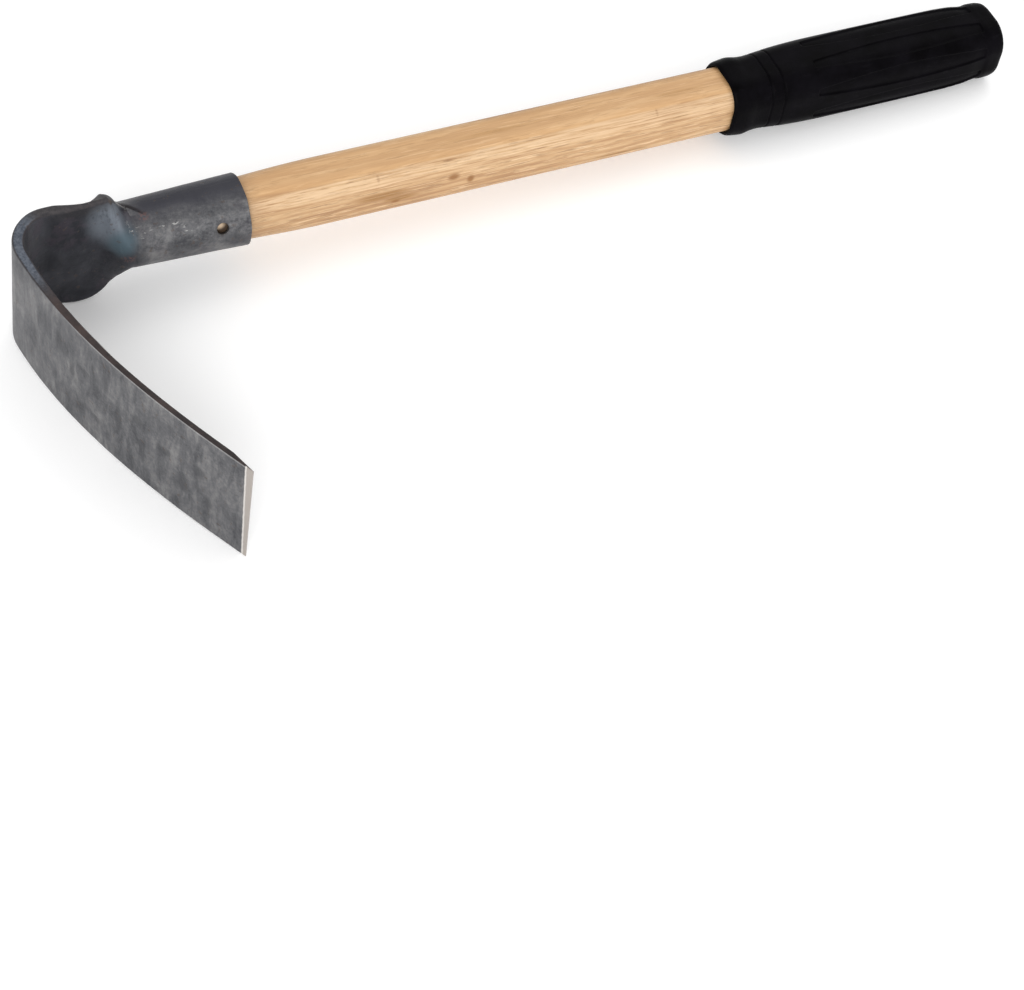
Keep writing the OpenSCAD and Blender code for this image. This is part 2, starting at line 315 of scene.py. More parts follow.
def head_ring(s):
    """One closed ring round the head at distance s along it.

    Gives each point's depth under the outer face, its height, and its face: -1 outer, 1 inner.
    """
    behind = NECK_LEN + s
    t = full_t(s)
    flat = float(smooth(behind, ROUND_LEN, CORNERS_START))
    if behind <= ROUND_LEN:
        edges = [socket_radius(behind)] * 2
    elif behind < SHOULDERS_END:
        edges = [float(curve(behind, UPPER_EDGE)), float(curve(behind, LOWER_EDGE))]
    else:
        edges = [half_width(s)] * 2
    phi = np.linspace(0, math.pi / 2, QUARTER)
    halves = []
    for edge, sign in zip(edges, (1, -1)):
        depth, share = plate_samples(edge, t, edge_corner(s, t))
        z = sign * (edge - (1 - flat) * edge * (1 - np.cos(phi)) - flat * depth)
        outer, inner = neck_faces(behind, z, edge, t, flat)
        middle, half = (outer + inner) / 2, (inner - outer) / 2
        half = half * ((1 - flat) + flat * share)
        halves.append((z, middle - half, middle + half, share))
    (z_up, out_up, in_up, share_up), (z_low, out_low, in_low, share_low) = halves
    z = np.concatenate([z_up, z_low[::-1][1:], z_low[1:], z_up[::-1][1:-1]])
    n = np.concatenate([out_up, out_low[::-1][1:], in_low[1:], in_up[::-1][1:-1]])
    side = np.concatenate([-share_up, -share_low[::-1][1:], share_low[1:], share_up[::-1][1:-1]])
    return n, z, side


def dented(s, z, side):
    """Depth of the blade's dents at each point of a ring."""
    bend = 1.5 * lumps(np.column_stack([np.full(len(z), s), z, 0 * z]), 6, 4)
    sink = np.zeros(len(z))
    for run, height, long, high, depth in DENTS:
        far = ((s - run + bend) / long) ** 2 + ((z - height - bend) / high) ** 2
        sink = np.maximum(sink, depth * np.exp(-far ** 1.5))
    return np.where(side < 0, sink, 0)


def hammered(s, n, z, side):
    """Presses shallow hammer marks and dents into a ring, never outwards."""
    at = np.column_stack([np.full(len(z), s), z, 25 * side])
    rough = np.clip(0.5 + 0.5 * lumps(at, MARK_SIZE, 1), 0, None)
    depth = NECK_MARKS * float(smooth(s, 25, -15)) + BLADE_MARKS
    if NECK_LEN + s <= ROUND_LEN:
        shrink = 1 - SOCKET_MARKS * rough / SOCKET_R
        return BACK_Y + (n - BACK_Y) * shrink, z * shrink
    return n - side * (depth * rough + dented(s, z, side)), z


def ground(s, n, z, side):
    """Grinds the tip's chisel bevel, a small bevel on its other face and the upper long edge."""
    t = full_t(s)
    left = STRAP_LEN - s
    if left < TIP_BEVEL:
        n = np.minimum(n, CUT_T + (t - CUT_T) * left / TIP_BEVEL)
    width = MICRO_BEVEL[0] + (MICRO_BEVEL[1] - MICRO_BEVEL[0]) * (0.5 - z / TIP_W)
    n = np.maximum(n, MICRO_DEPTH * (1 - left / width))
    start = BEND_ARC + GRIND_START * BLADE_LEN
    if s > start:
        down = half_width(s) - z
        width = EDGE_BEVEL * min(1, 4 * (s - start) / (STRAP_LEN - start) + 0.05)
        n = np.minimum(n, t - EDGE_DEPTH * (1 - down / width))
    return n


def head_rings():
    stations = spaced((-NECK_LEN, -NECK_LEN + 1.2, 0.2), (-NECK_LEN + 1.2, -39, 0.8), (-39, -6, 0.4),
                      (-6, 30, 0.8), (30, STRAP_LEN - TIP_BEVEL, 1.0),
                      (STRAP_LEN - TIP_BEVEL, STRAP_LEN - 4.2, 0.8), (STRAP_LEN - 4.2, STRAP_LEN, 0.35))
    path, turn = outer_path(stations), heading(stations)
    rings, flats, dents = [], [], []
    for s, start, angle in zip(stations, path, turn):
        n, z, side = head_ring(s)
        n, z = hammered(s, n, z, side)
        n = ground(s, n, z, side)
        xy = start + np.outer(n, (-math.sin(angle), math.cos(angle)))
        rings.append(np.column_stack([xy, z]))
        flats.append(np.column_stack([np.full(len(z), s), z, side]))
        dents.append(dented(s, z, side))
    return (*creased(np.array(rings), np.array(dents)), np.array(flats))


def creased(rings, dents):
    """Presses the fold between the socket and the plate's upper corner, and wears the mouth a little."""
    x, y, z = np.moveaxis(rings, 2, 0)
    radius = np.hypot(y, z)
    angle = np.degrees(np.arctan2(z, y))
    (x0, a0), (x1, a1) = FOLD
    along = np.clip((x - x0) / (x1 - x0), 0, 1)
    arc = np.radians(angle - a0 - (a1 - a0) * along) * radius
    gap = np.hypot(arc, x - x0 - (x1 - x0) * along)
    share = 0.35 + 0.65 * np.sqrt(np.sin(math.pi * np.clip(along, 0.02, 0.98)))
    sink = FOLD_DEPTH * share * np.exp(-(gap / FOLD_WIDTH) ** 2)
    scale = np.where(radius > 5, 1 - sink / np.maximum(radius, 5), 1)
    wave = np.sin(3 * np.radians(angle) + 0.6) * np.cos(5 * np.radians(angle))
    mouth = np.where(x > -6, np.exp(x / 1.5) * MOUTH_WEAR * (0.5 + 0.5 * wave), 0)
    fold = share * np.exp(-(gap / (1.5 * FOLD_WIDTH)) ** 2)
    marks = np.stack([fold, mouth / MOUTH_WEAR, dents], 2)
    return np.stack([x - mouth, y * scale, z * scale], 2), marks


def build_head():
    rings, marks, flats = head_rings()
    rows, columns = rings.shape[:2]
    points = rings.reshape(-1, 3)
    faces = grid_faces(rows, columns)
    faces.append(tuple(range((rows - 1) * columns, rows * columns)))
    angle = np.arctan2(rings[0][:, 2], rings[0][:, 1])
    lip = rings[0][:, 0]
    inside = [ring(x + lip, radius, angle) for x, radius in MOUTH_LIP]
    inside += [ring(-x, BORE_R, angle) for x in spaced((1.2, BORE_DEPTH, 2.4))]
    start = len(points)
    points = np.concatenate([points] + inside)
    faces += [(j, start + j, start + k, k) for j, k in neighbours(columns)]
    faces += grid_faces(len(inside), columns, start, flip=True)
    faces.append(tuple(range(len(points) - columns, len(points)))[::-1])
    height = points[start:, 2]
    tail = np.column_stack([np.full(len(height), -NECK_LEN), height, 0 * height])
    flat = np.concatenate([flats.reshape(-1, 3), tail])
    marks = np.concatenate([marks.reshape(-1, 3), 0 * tail])
    attributes = {"flat": flat, "marks": marks}
    head = make_object("forged_head", points, faces, attributes)
    drill(head, points, attributes)
    return head


def drill(head, before, attributes):
    """Cuts the nail hole, flared where its rim is worn.

    The cut drops the attributes, so they are taken over from before, the points that they belong to.
    """
    theta = np.linspace(0, 2 * math.pi, 48, endpoint=False)
    rim = socket_radius(NAIL_X)
    out = np.array([0, -math.cos(NAIL_ANGLE), math.sin(NAIL_ANGLE)])
    across = np.cross(out, (1, 0, 0))
    circle = np.outer(np.cos(theta), (1, 0, 0)) + np.outer(np.sin(theta), across)
    steps = [(5, NAIL_R), (rim - 0.5, NAIL_R), (rim - 0.1, NAIL_R + HOLE_FLARE / 3),
             (rim + 1, NAIL_R + 3 * HOLE_FLARE)]
    rings = [np.array([-NAIL_X, 0, 0]) + out * reach + radius * circle for reach, radius in steps]
    points = np.concatenate(rings)
    faces = grid_faces(len(rings), len(theta))
    faces += [tuple(range(len(theta))), tuple(range(len(points) - len(theta), len(points)))]
    cutter = make_object("nail_cutter", points, faces, {})
    cut = head.modifiers.new("nail_hole", "BOOLEAN")
    cut.object, cut.operation, cut.solver = cutter, "DIFFERENCE", "EXACT"
    made = bpy.data.meshes.new_from_object(head.evaluated_get(bpy.context.evaluated_depsgraph_get()))
    head.modifiers.clear()
    head.data = made
    bpy.data.objects.remove(cutter)
    own = (read_points(made) - ORIGIN) @ AXES.T / MM
    nearest = kdtree.KDTree(len(before))
    for i, point in enumerate(before):
        nearest.insert(point, i)
    nearest.balance()
    match = [nearest.find(point)[1] for point in own]
    for key, values in {**attributes, "own": before}.items():
        kept = own if key == "own" else np.asarray(values)[match]
        layer = made.attributes.get(key) or made.attributes.new(key, "FLOAT_VECTOR", "POINT")
        layer.data.foreach_set("vector", kept.astype(np.float32).ravel())


# ---- handle ------------------------------------------------------------------------
def square_radius(theta, half, corner):
    """Distance to a rounded square's outline at each angle."""
    a = np.abs((theta + math.pi / 4) % (math.pi / 2) - math.pi / 4)
    c = half - corner
    flat = half / np.cos(a)
    dot = c * (np.cos(a) + np.sin(a))
    inside = np.clip(dot ** 2 - 2 * c * c + corner ** 2, 0, None)
    return np.where(np.tan(a) * half <= c, flat, dot + np.sqrt(inside))


def build_handle():
    theta = np.linspace(0, 2 * math.pi, 128, endpoint=False)
    stations = spaced((-BORE_DEPTH, -0.4, 3), (-0.4, 1, 0.35), (1, SWELL_END, 1.5),
                      (SWELL_END, HANDLE_END, 3))
    rings = []
    for x in stations:
        if x < 0:
            radius = TENON_R[0] + (TENON_R[1] - TENON_R[0]) * (1 + x / BORE_DEPTH)
        else:
            swell = math.sin(math.pi / 2 * min(1, x / SWELL_END))
            half, corner = (MOUTH_R + (full - MOUTH_R) * swell for full in (HANDLE_HALF, HANDLE_CORNER))
            radius = square_radius(theta, half, corner)
        rings.append(ring(x, radius, theta))
    points = np.concatenate(rings)
    columns = len(theta)
    faces = grid_faces(len(rings), columns)
    faces.append(tuple(range(columns))[::-1])
    faces.append(tuple(range(len(points) - columns, len(points))))
    return make_object("wood_handle", points, faces, {})


# ---- grip --------------------------------------------------------------------------
# Half-width of the grip's section across its flats, by distance from its front lip.
GRIP_SHAPE = [(0, 13.2), (0.8, 13.6), (3, 13.9), (6.5, 14.15), (8.5, 14.0), (10.6, 13.7), (14, 13.55),
              (18, 13.75), (27, 14.3), (34, 14.55), (43, 14.7), (70, 14.75), (103, 14.7), (113, 14.4),
              (117.5, 13.95), (119.5, 13.85), (122, 14.1), (125, 14.05), (127.5, 13.7), (128.4, 13.1),
              (129, 11.9)]
# The two ring grooves.
RINGS_X, RING_DEPTH, RING_WIDTH = (224.4, 230.0), 0.4, 0.35
# A pocket's width is measured on a circle of this radius. Its side is this wide, and sinks in these shares.
POCKET_CIRCLE, POCKET_SIDE, SIDE_SHARES = 15.8, 0.45, (0, 0.12, 0.85)
LAND_COLUMNS, FLOOR_COLUMNS = 7, 10
# The dished end face, as (share of the way from the hole to the rim, x), and its hole, as (flare, x).
END_FACE = [(0.93, 336.0), (0.85, 335.9), (0.7, 335.75), (0.55, 335.7)]
END_HOLE = [(0.8, 335.7), (0.2, 335.5), (0, 335.1), (0, GRIP_END - END_WALL)]
# The hollow that holds the handle: its rings, its gap, and its half-width and corner radius at the lip.
HOLLOW_X = (GRIP_END - END_WALL, 324.2, 290.0, 250.0, 215.0, 208.0)
HOLLOW_GAP, LIP_OPENING = 0.02, (12.4, 8.8)


def grip_half(x):
    """Half-width of the grip's section at x, with the ring grooves."""
    half = float(curve(x - GRIP_START, GRIP_SHAPE))
    for groove in RINGS_X:
        half -= RING_DEPTH * math.exp(-((x - groove) / RING_WIDTH) ** 2)
    return half


def pocket_half(x):
    """Half-width of a pocket at x, rounded off at its front end."""
    u = np.clip((x - POCKET_X[0]) / (POCKET_X[1] - POCKET_X[0]), 0, 1)
    mean = sum(POCKET_ENDS) / 2
    half = POCKET_ENDS[0] + (POCKET_ENDS[1] - POCKET_ENDS[0]) * u
    half += (POCKET_W / 2 - mean) * math.sin(math.pi * u)
    nose = POCKET_X[0] - x
    if nose > 0:
        half *= math.sqrt(max(0.02, 1 - (nose / POCKET_ENDS[0]) ** 2))
    return half


def pocket_depth(x):
    """Depth of the pockets at x: their ends are steep."""
    front = smooth(x, POCKET_X[0] - 1.3, POCKET_X[0] - 0.5)
    rear = smooth(x, POCKET_X[1] + 0.4, POCKET_X[1] - 0.3)
    return POCKET_DEPTH * float(front * rear)


def pocket_columns(x):
    """Angles of a ring's points at x, and the share of the pockets' depth at each."""
    sector = 2 * math.pi / POCKETS
    floor, side = pocket_half(x) / POCKET_CIRCLE, POCKET_SIDE / POCKET_CIRCLE
    land = sector / 2 - floor - side
    runs = [(-sector / 2, land, np.zeros(LAND_COLUMNS)), (-floor - side, side, np.array(SIDE_SHARES)),
            (-floor, 2 * floor, np.ones(FLOOR_COLUMNS)), (floor, side, np.array([1, *SIDE_SHARES[:0:-1]])),
            (floor + side, land, np.zeros(LAND_COLUMNS))]
    local = np.concatenate([start + width * np.arange(len(part)) / len(part)
                            for start, width, part in runs])
    share = np.concatenate([part for start, width, part in runs])
    theta = np.concatenate([local + sector * (i + 0.5) for i in range(POCKETS)])
    return theta, np.tile(share, POCKETS)


def build_grip():
    stations = spaced((GRIP_START, GRIP_START + 8, 0.4), (GRIP_START + 8, 223.4, 0.8), (223.4, 231, 0.2),
                      (231, 244.5, 1.2), (244.5, 248.5, 0.2), (248.5, 325, 1.5), (325, 328, 0.2),
                      (328, 333, 0.5), (333, GRIP_END, 0.2))
    rings = []
    for x in stations:
        theta, share = pocket_columns(x)
        half = grip_half(x)
        skin = square_radius(theta, half, min(GRIP_CORNER, half - 0.5)) - pocket_depth(x) * share
        rings.append(ring(x, skin, theta))
    rings += [ring(x, END_HOLE_R + (skin - END_HOLE_R) * way, theta) for way, x in END_FACE]
    rings += [ring(x, END_HOLE_R + flare, theta) for flare, x in END_HOLE]
    hollow = square_radius(theta, HANDLE_HALF + HOLLOW_GAP, HANDLE_CORNER)
    rings += [ring(x, hollow, theta) for x in HOLLOW_X]
    rings.append(ring(GRIP_START, square_radius(theta, *LIP_OPENING), theta))
    columns = len(theta)
    faces = grid_faces(len(rings), columns)
    last = (len(rings) - 1) * columns
    faces += [(last + j, last + k, k, j) for j, k in neighbours(columns)]
    return make_object("rubber_grip", np.concatenate(rings), faces, {})


# ---- materials ---------------------------------------------------------------------
class Shader:
    """A material's node tree, with short calls that add a node and return its output."""

    def __init__(self, name):
        self.material = bpy.data.materials.new(name)
        self.material.use_nodes = True
        self.tree = self.material.node_tree
        self.surface = self.tree.nodes["Principled BSDF"]

    def put(self, socket, value):
        if hasattr(value, "is_output"):
            self.tree.links.new(value, socket)
        elif value is not None:
            socket.default_value = value

    def node(self, kind, settings=(), **inputs):
        made = self.tree.nodes.new(kind)
        for key, value in dict(settings).items():
            setattr(made, key, value)
        for key, value in inputs.items():
            self.put(made.inputs[key.replace("_", " ")], value)
        return made.outputs[0]

    def attribute(self, name):
        made = self.tree.nodes.new("ShaderNodeAttribute")
        made.attribute_name = name
        return made.outputs["Vector"]

    def split(self, vector):
        made = self.tree.nodes.new("ShaderNodeSeparateXYZ")
        self.put(made.inputs[0], vector)
        return list(made.outputs)

    def scaled(self, vector, scale, shift=(0, 0, 0)):
        return self.node("ShaderNodeMapping", Vector=vector, Scale=scale, Location=shift)

    def length(self, vector):
        made = self.tree.nodes.new("ShaderNodeVectorMath")
        made.operation = "LENGTH"
        self.put(made.inputs[0], vector)
        return made.outputs["Value"]

    def noise(self, vector, scale=1.0, detail=4.0, roughness=0.55, distortion=0.0):
        return self.node("ShaderNodeTexNoise", Vector=vector, Scale=scale, Detail=detail,
                         Roughness=roughness, Distortion=distortion)

    def ramp(self, value, *stops):
        made = self.tree.nodes.new("ShaderNodeValToRGB")
        self.put(made.inputs[0], value)
        elements = made.color_ramp.elements
        while len(elements) < len(stops):
            elements.new(0.5)
        for element, (at, colour) in zip(elements, stops):
            element.position = at
            element.color = (*(colour if isinstance(colour, tuple) else (colour,) * 3), 1)
        return made.outputs[0]

    def maths(self, operation, a, b=None, c=None):
        made = self.tree.nodes.new("ShaderNodeMath")
        made.operation = operation
        for socket, value in zip(made.inputs, (a, b, c)):
            self.put(socket, value)
        return made.outputs[0]

    def times(self, *values):
        """Product of several masks."""
        result = values[0]
        for value in values[1:]:
            result = self.maths("MULTIPLY", result, value)
        return result

    def most(self, *values):
        """The strongest of several masks."""
        result = values[0]
        for value in values[1:]:
            result = self.maths("MAXIMUM", result, value)
        return result

    def rise(self, value, low, high):
        """0 where the value is under low, 1 over high."""
        return self.node("ShaderNodeMapRange", {"interpolation_type": "SMOOTHSTEP"}, Value=value,
                         From_Min=low, From_Max=high)

    def fall(self, value, low, high):
        return self.maths("SUBTRACT", 1.0, self.rise(value, low, high))

    def spot(self, own, centre, size):
        """1 at the centre of a soft ellipsoid and 0 outside it; its size is half its extent each way."""
        scale = tuple(1 / v for v in size)
        shift = tuple(-c / v for c, v in zip(centre, size))
        return self.fall(self.length(self.scaled(own, scale, shift)), 0.25, 1.0)

    def spots(self, own, places):
        """The strongest of several spots, each given as (centre, size)."""
        return self.most(*[self.spot(own, centre, size) for centre, size in places])

    def blend(self, factor, a, b, mode="MIX"):
        made = self.tree.nodes.new("ShaderNodeMix")
        made.data_type = "RGBA"
        made.blend_type = mode
        self.put(made.inputs["Factor"], factor)
        for socket, value in ((made.inputs[6], a), (made.inputs[7], b)):
            self.put(socket, (*value, 1) if isinstance(value, tuple) else value)
        return made.outputs[2]

    def tinted(self, colour, tint, strength, *masks):
        """The colour, taken towards a tint where all the masks are up."""
        return self.blend(self.times(*masks, strength), colour, tint)

    def relief(self, height, distance, strength=1.0, base=None):
        made = self.tree.nodes.new("ShaderNodeBump")
        made.inputs["Strength"].default_value = strength
        made.inputs["Distance"].default_value = distance
        self.put(made.inputs["Height"], height)
        self.put(made.inputs["Normal"], base)
        return made.outputs[0]

    def finish(self, **values):
        for key, value in values.items():
            self.put(self.surface.inputs[key.replace("_", " ")], value)
        return self.material


def round_socket(x, degrees):
    """Point on the socket's skin."""
    radius = socket_radius(-x)
    return x, radius * math.cos(math.radians(degrees)), radius * math.sin(math.radians(degrees))


# Small marks, as (centre, half-extents): painted glints beside the fold, rust, and painted shade at the
# nail hole's rim.
PAINTED_GLINTS = [(round_socket(-48.5, 117), (3.5, 3, 3)), (round_socket(-44.6, 130), (4, 3, 3)),
          (round_socket(-40.4, 138), (4, 3, 3)), (round_socket(-31, 134), (6, 3, 2.5)),
          (round_socket(-25, 146), (3, 3, 2.5))]
RUST = [(round_socket(-40, 108), (3, 3, 3)), (round_socket(-48.6, 182), (4, 3, 3))]
HOLE_SHADE = [(round_socket(-NAIL_X - 0.3, 160), (3.6, 3.6, 3.6))]


def steel_fields(s):
    """Coordinates, noises and masks that the head's colours are made of.

    run is the distance along the head, and side goes from -1 on the outer face to 1 on the inner.
    """
    f = SimpleNamespace(own=s.attribute("own"), flat=s.attribute("flat"))
    f.run, f.height, f.side = s.split(f.flat)
    f.fold, _, f.dents = s.split(s.attribute("marks"))
    f.inner, f.outer = s.rise(f.side, 0.6, 0.9), s.fall(f.side, -0.9, -0.6)
    top = s.maths("MULTIPLY_ADD", f.run, (TIP_W - STRAP_W) / 2 / BLADE_LEN, STRAP_W / 2)
    f.top_gap = s.maths("SUBTRACT", top, f.height)
    f.on_socket = s.fall(f.run, -38, -28)
    f.cloud = s.noise(f.own, 0.06, 5, 0.62, 0.5)
    f.scale = s.noise(f.own, 0.8, 6, 0.7)
    f.patch = s.noise(s.scaled(f.own, (0.11, 0.11, 0.11), (7, 3, 5)), 1, 4, 0.6)
    streak = s.blend(f.on_socket, s.noise(s.scaled(f.flat, (0.24, 0.065, 2)), 1, 6, 0.68, 0.5),
                     s.noise(s.scaled(f.own, (0.07, 0.16, 0.16)), 1, 6, 0.66, 0.4))
    blotch = s.maths("MULTIPLY_ADD", f.cloud, 0.35, s.times(f.scale, 0.25))
    f.tone = s.maths("MULTIPLY_ADD", streak, 0.4, blotch)
    # Painted shade: the neck's drawn-out upper shoulder faces up and is painted nearly black.
    f.shoulder = s.times(s.fall(f.top_gap, 2.5, 6), s.rise(f.run, -34, -30), s.fall(f.run, -6, 6))
    f.freckles = s.rise(s.noise(f.own, 0.42, 3, 0.5), 0.63, 0.7)
    # Painted glints: bright specks beside the fold.
    speck = s.rise(s.noise(s.scaled(f.own, (0.4, 1.0, 1.0)), 1.2, 3, 0.55), 0.585, 0.66)
    f.sparks = s.times(s.spots(f.own, PAINTED_GLINTS), speck)
    return f


def ground_masks(s, f):
    """Where the head is ground: the tip's two bevels and the long edge, with a painted shade line along the
    chisel bevel and a painted highlight along the small bevel's border.
    """
    left = s.maths("SUBTRACT", STRAP_LEN, f.run)
    wavy = s.maths("MULTIPLY_ADD", s.noise(s.scaled(f.flat, (0.5, 0.5, 3)), 1, 3), 1.2, -0.6)
    slope = (MICRO_BEVEL[0] - MICRO_BEVEL[1]) / TIP_W
    micro = s.maths("MULTIPLY_ADD", f.height, slope, sum(MICRO_BEVEL) / 2)
    past_micro = s.maths("SUBTRACT", s.maths("ADD", left, s.times(wavy, 0.5)), micro)
    start = BEND_ARC + GRIND_START * BLADE_LEN
    long_gap = s.maths("ADD", f.top_gap, s.times(wavy, 0.6))
    worn_gap = s.maths("ADD", f.top_gap, s.times(wavy, 0.5))
    tip = s.times(f.inner, s.fall(s.maths("ADD", left, wavy), TIP_BEVEL - 0.3, TIP_BEVEL + 0.3))
    long_edge = s.times(f.inner, s.rise(f.run, start, start + 6),
                        s.fall(long_gap, EDGE_BEVEL - 0.3, EDGE_BEVEL + 0.2))
    worn_edge = s.times(s.fall(f.side, -0.96, -0.88), s.fall(worn_gap, 0.35, 0.75), s.rise(f.run, 55, 80))
    at_line = (STRAP_LEN - TIP_BEVEL - 0.8, 0, 0)
    return SimpleNamespace(
        bright=s.most(tip, long_edge, s.times(worn_edge, 0.45)),
        tip_shade_line=s.times(f.inner, s.spot(s.scaled(f.flat, (1, 0, 0)), at_line, (1.4, 1, 1))),
        micro=s.times(f.outer, s.fall(past_micro, -0.25, 0.25)),
        micro_highlight_line=s.times(f.outer, s.fall(s.maths("ABSOLUTE", past_micro), 0.1, 0.6)))


def neck_tints(s, f, colour):
    """The darker inside of the neck, and painted shade on its drawn-out upper shoulder."""
    neck = s.times(f.inner, s.rise(f.run, -38, -26), s.fall(f.run, 6, 40))
    dark = s.ramp(f.cloud, (0.38, (0.009, 0.01, 0.016)), (0.62, (0.03, 0.031, 0.041)))
    colour = s.tinted(colour, dark, 0.9, neck)
    near_neck = s.most(neck, s.times(s.fall(f.run, -30, -20), 0.35))
    colour = s.tinted(colour, (0.042, 0.033, 0.045), 0.6, s.rise(f.patch, 0.5, 0.6), near_neck)
    # Painted shade on the upper shoulder, nearly black.
    black = s.ramp(f.cloud, (0.4, (0.012, 0.011, 0.014)), (0.6, (0.03, 0.026, 0.03)))
    return s.tinted(colour, black, 0.85, f.shoulder)


def socket_tints(s, f, colour):
    """Painted light on the socket: a bluish painted highlight on the slope into the neck, painted shade on
    the socket's top and a painted highlight on its front.
    """
    # Painted highlight, bluish, on the slope from the socket into the neck, with a deeper blue part low on
    # it.
    slope = s.times(s.spot(f.own, (-54, -8, 15), (11.5, 12, 14)), s.rise(f.side, 0.2, 0.6))
    colour = s.tinted(colour, (0.178, 0.202, 0.235), 0.88, slope, s.rise(f.tone, 0.28, 0.5))
    blue_highlight = s.spot(f.own, (-50, -10, 7), (8, 9, 9))
    colour = s.tinted(colour, (0.075, 0.118, 0.145), 0.8, blue_highlight, s.rise(f.cloud, 0.36, 0.5))
    # Painted shade on the socket's top, and a painted highlight along its front.
    across = s.scaled(f.own, (0, 1, 1))
    top = s.spot(across, (0, 3, 14), (1, 13, 10))
    colour = s.tinted(colour, (0.031, 0.031, 0.041), 0.95, f.on_socket, top)
    front = s.times(f.on_socket, s.spot(across, (0, -13, 6), (1, 6, 6)))
    return s.tinted(colour, (0.24, 0.24, 0.245), 0.45, front, s.rise(f.tone, 0.42, 0.6))


def edge_tints(s, f, colour):
    """The dents, and the strap's upper edge: painted shade darkens it at the neck, where it faces up; it is
    bluish at the bend and brown beyond.
    """
    colour = s.tinted(colour, (0.04, 0.041, 0.046), 0.6, s.rise(f.dents, 0.02, 0.25))
    band = s.times(s.rise(f.side, -0.99, -0.85), s.fall(f.side, 0.85, 0.99), s.fall(f.top_gap, 1.0, 1.6))
    middle = s.times(s.rise(f.side, -0.85, -0.6), s.fall(f.side, 0.55, 0.8), s.fall(f.top_gap, 0.8, 1.4))
    # Painted shade on the upper edge's band at the neck.
    dark = s.ramp(f.scale, (0.4, (0.022, 0.02, 0.023)), (0.62, (0.05, 0.043, 0.045)))
    colour = s.tinted(colour, dark, 0.85, band, s.rise(f.run, -32, -27))
    blue = s.ramp(f.scale, (0.4, (0.055, 0.067, 0.09)), (0.62, (0.14, 0.16, 0.195)))
    colour = s.tinted(colour, blue, 0.85, middle, s.rise(f.run, 5, 15), s.fall(f.run, 38, 62))
    brown = s.ramp(f.patch, (0.4, (0.022, 0.016, 0.016)), (0.65, (0.055, 0.036, 0.033)))
    return s.tinted(colour, brown, 0.92, band, s.rise(f.run, 38, 62))


def small_marks(s, f, colour):
    """Freckles and rust, with painted glints, painted shade at the nail hole's rim and painted shade in the
    fold.
    """
    colour = s.tinted(colour, (0.075, 0.052, 0.04), 0.45, f.freckles)
    # Painted glints, then painted shade at the nail hole's rim and in the fold.
    colour = s.tinted(colour, (0.42, 0.42, 0.41), 0.85, f.sparks)
    colour = s.tinted(colour, (0.02, 0.016, 0.015), 0.75, s.spots(f.own, HOLE_SHADE))
    colour = s.tinted(colour, (0.018, 0.014, 0.016), 0.85, s.rise(f.fold, 0.15, 0.75))
    return s.tinted(colour, (0.14, 0.07, 0.065), 0.7, s.spots(f.own, RUST), s.rise(f.scale, 0.45, 0.6))


def ground_tints(s, ground, scratches, colour):
    """Bright steel where the head is ground, with a painted shade line and a painted highlight along the
    tip's bevels.
    """
    bright = s.ramp(scratches, (0.35, (0.3, 0.295, 0.29)), (0.65, (0.5, 0.49, 0.475)))
    # Painted shade along the chisel bevel's border.
    colour = s.tinted(colour, (0.05, 0.05, 0.055), 0.5, ground.tip_shade_line)
    colour = s.blend(ground.bright, colour, bright)
    colour = s.blend(ground.micro, colour, (0.395, 0.357, 0.328))
    # Painted highlight along the small bevel's border.
    return s.tinted(colour, (0.7, 0.67, 0.635), 0.8, ground.micro_highlight_line)


def forged_steel():
    s = Shader("forged_steel")
    f = steel_fields(s)
    ground = ground_masks(s, f)
    scratches = s.noise(s.scaled(f.flat, (2.4, 0.12, 1)), 1, 3, 0.6)
    colour = s.ramp(f.tone, (0.4, (0.043, 0.044, 0.05)), (0.5, (0.099, 0.099, 0.105)),
                    (0.6, (0.188, 0.184, 0.184)))
    for tints in (neck_tints, socket_tints, edge_tints, small_marks):
        colour = tints(s, f, colour)
    colour = ground_tints(s, ground, scratches, colour)

    polished = s.most(ground.bright, ground.micro, f.sparks)
    roughness = s.maths("MULTIPLY_ADD", polished, -0.12, s.maths("MULTIPLY_ADD", f.scale, 0.35, 0.33))
    roughness = s.maths("MULTIPLY_ADD", f.shoulder, 0.25, roughness)
    metallic = s.maths("MULTIPLY_ADD", polished, 0.3, s.maths("MULTIPLY_ADD", f.shoulder, -0.4, 0.5))
    height = s.maths("MULTIPLY_ADD", f.scale, 0.5, s.times(f.freckles, -0.3))
    height = s.maths("MULTIPLY_ADD", f.cloud, 2.0, height)
    height = s.times(height, s.maths("MULTIPLY_ADD", polished, -0.85, 1.0))
    height = s.maths("MULTIPLY_ADD", s.times(polished, scratches), 0.15, height)
    return s.finish(Base_Color=colour, Metallic=metallic, Roughness=roughness,
                    Normal=s.relief(height, 0.0004, 0.5))


# The wood's darker streaks and knots, as (centre, half-extents).
WOOD_STREAKS = [((54, -11.5, 1.6), (16, 4, 2.6)), ((62, -11.5, -1.6), (10, 4, 1.8)),
                ((158, -11.3, -5.2), (18, 4, 1)), ((103, -0.7, 11.5), (28, 1.5, 3)),
                ((186, -2, 11.5), (16, 2, 3))]
KNOTS = [((84, -11.5, 3.1), (3.6, 3, 2.6)), ((91.5, -11.5, 0), (2.2, 3, 2.8)),
         ((60, -11.5, -2.9), (2.6, 3, 1)), ((52.5, -9.5, 9), (0.9, 3, 1.8)),
         ((173, -8.5, 9.7), (0.8, 3, 1.6))]
# The wood's rings run round a line beside the handle, at minus these y and z.
RING_SHIFT = (0, -17, 31)
# The painted pool of light on the wood seen through the nail hole lies at this angle round the tenon.
LIT_SPOT_ANGLE = math.radians(153)


